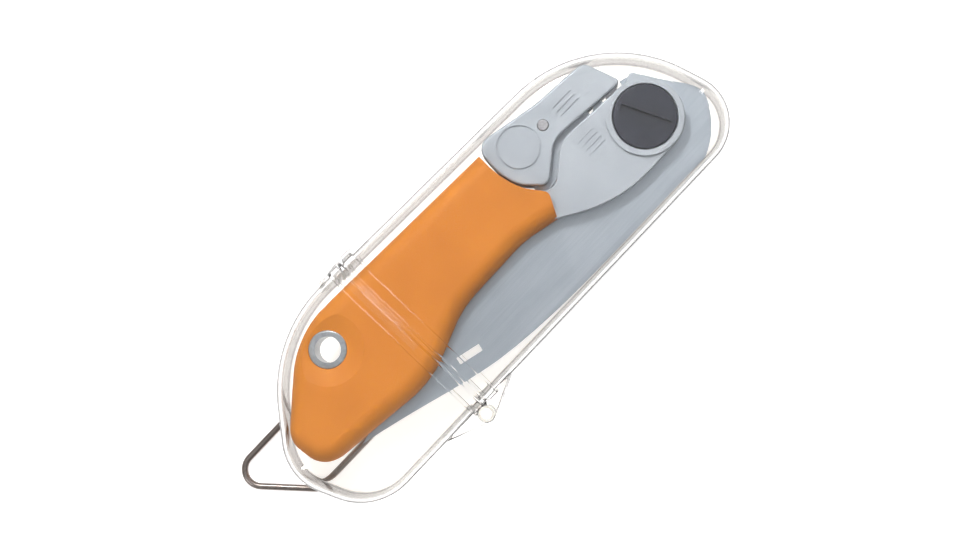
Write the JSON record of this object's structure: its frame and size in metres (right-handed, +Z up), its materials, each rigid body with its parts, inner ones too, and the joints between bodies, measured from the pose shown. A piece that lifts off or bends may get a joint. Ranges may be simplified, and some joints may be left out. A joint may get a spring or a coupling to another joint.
{
  "type": "folding pocket saw in belt case",
  "caption": "Folding pocket saw with rubber grip and lock lever, folded inside a clear hinged belt case with a wire belt clip.",
  "frame": {"origin": "centre of the bounding box at its lowest level, where the belt clip's lugs rest", "axes": "+X along the case towards the blade's pivot, +Y across it towards the lock lever and latch, +Z up through the thickness, away from the belt clip"},
  "size_m": [0.211, 0.0794, 0.0403],
  "materials": {
    "clear_plastic": "clear moulded plastic, glossy",
    "wire_steel": "drawn spring steel wire",
    "blade_steel": "chrome plated saw steel, satin",
    "cast_alloy": "painted die cast alloy, blue grey satin",
    "orange_rubber": "matt orange elastomer",
    "pin_steel": "turned steel",
    "ring_metal": "satin metal",
    "black_metal": "black oxide, satin"
  },
  "bodies": {
    "case": {"case_body": "clear_plastic", "case_hinge_pin": "clear_plastic", "frame_front": "cast_alloy", "frame_back": "cast_alloy", "frame_spacer": "pin_steel", "frame_rivets": "pin_steel", "lanyard_bush": "ring_metal", "handle_grip": "orange_rubber", "lever_pin": "pin_steel", "lever_spring": "wire_steel", "pivot_nut": "pin_steel", "pivot_washer_front": "pin_steel", "pivot_washer_back": "pin_steel"},
    "lid": {"case_lid": "clear_plastic", "latch_pin": "clear_plastic"},
    "latch": {"case_latch": "clear_plastic"},
    "belt_clip": {"belt_clip_wire": "wire_steel"},
    "saw_blade": {"blade": "blade_steel"},
    "lever": {"lock_lever": "cast_alloy", "lock_dog": "pin_steel", "dog_rivet": "cast_alloy"},
    "screw": {"pivot_screw": "black_metal"}
  },
  "joints": [
    {"name": "lid_hinge", "type": "hinge", "parent": "case", "child": "lid", "pos_m": [-0.0281, -0.03665, 0.0235], "axis": [0, 0, 1], "range_deg": [0, 120]},
    {"name": "latch_lift", "type": "hinge", "parent": "lid", "child": "latch", "pos_m": [-0.0353, 0.03635, 0.0235], "axis": [0, 0, 1], "range_deg": [0, 20], "stiffness_Nm_per_rad": 0.01},
    {"name": "belt_clip_open", "type": "hinge", "parent": "case", "child": "belt_clip", "pos_m": [0.0481, 0.00085, 0.0023], "axis": [0, -1, 0], "range_deg": [0, 6], "stiffness_Nm_per_rad": 1},
    {"name": "blade_fold", "type": "hinge", "parent": "case", "child": "saw_blade", "pos_m": [0.0821, -0.00625, 0.0235], "axis": [0, 0, 1], "range_deg": [0, 1]},
    {"name": "lever_press", "type": "hinge", "parent": "case", "child": "lever", "pos_m": [0.0562, 0.01705, 0.0235], "axis": [0, 0, 1], "range_deg": [0, 2], "stiffness_Nm_per_rad": 0.5, "deforming": ["lever_spring"]},
    {"name": "pivot_screw_turn", "type": "hinge", "parent": "case", "child": "screw", "pos_m": [0.0821, -0.00625, 0.0235], "axis": [0, 0, 1], "continuous": true}
  ]
}
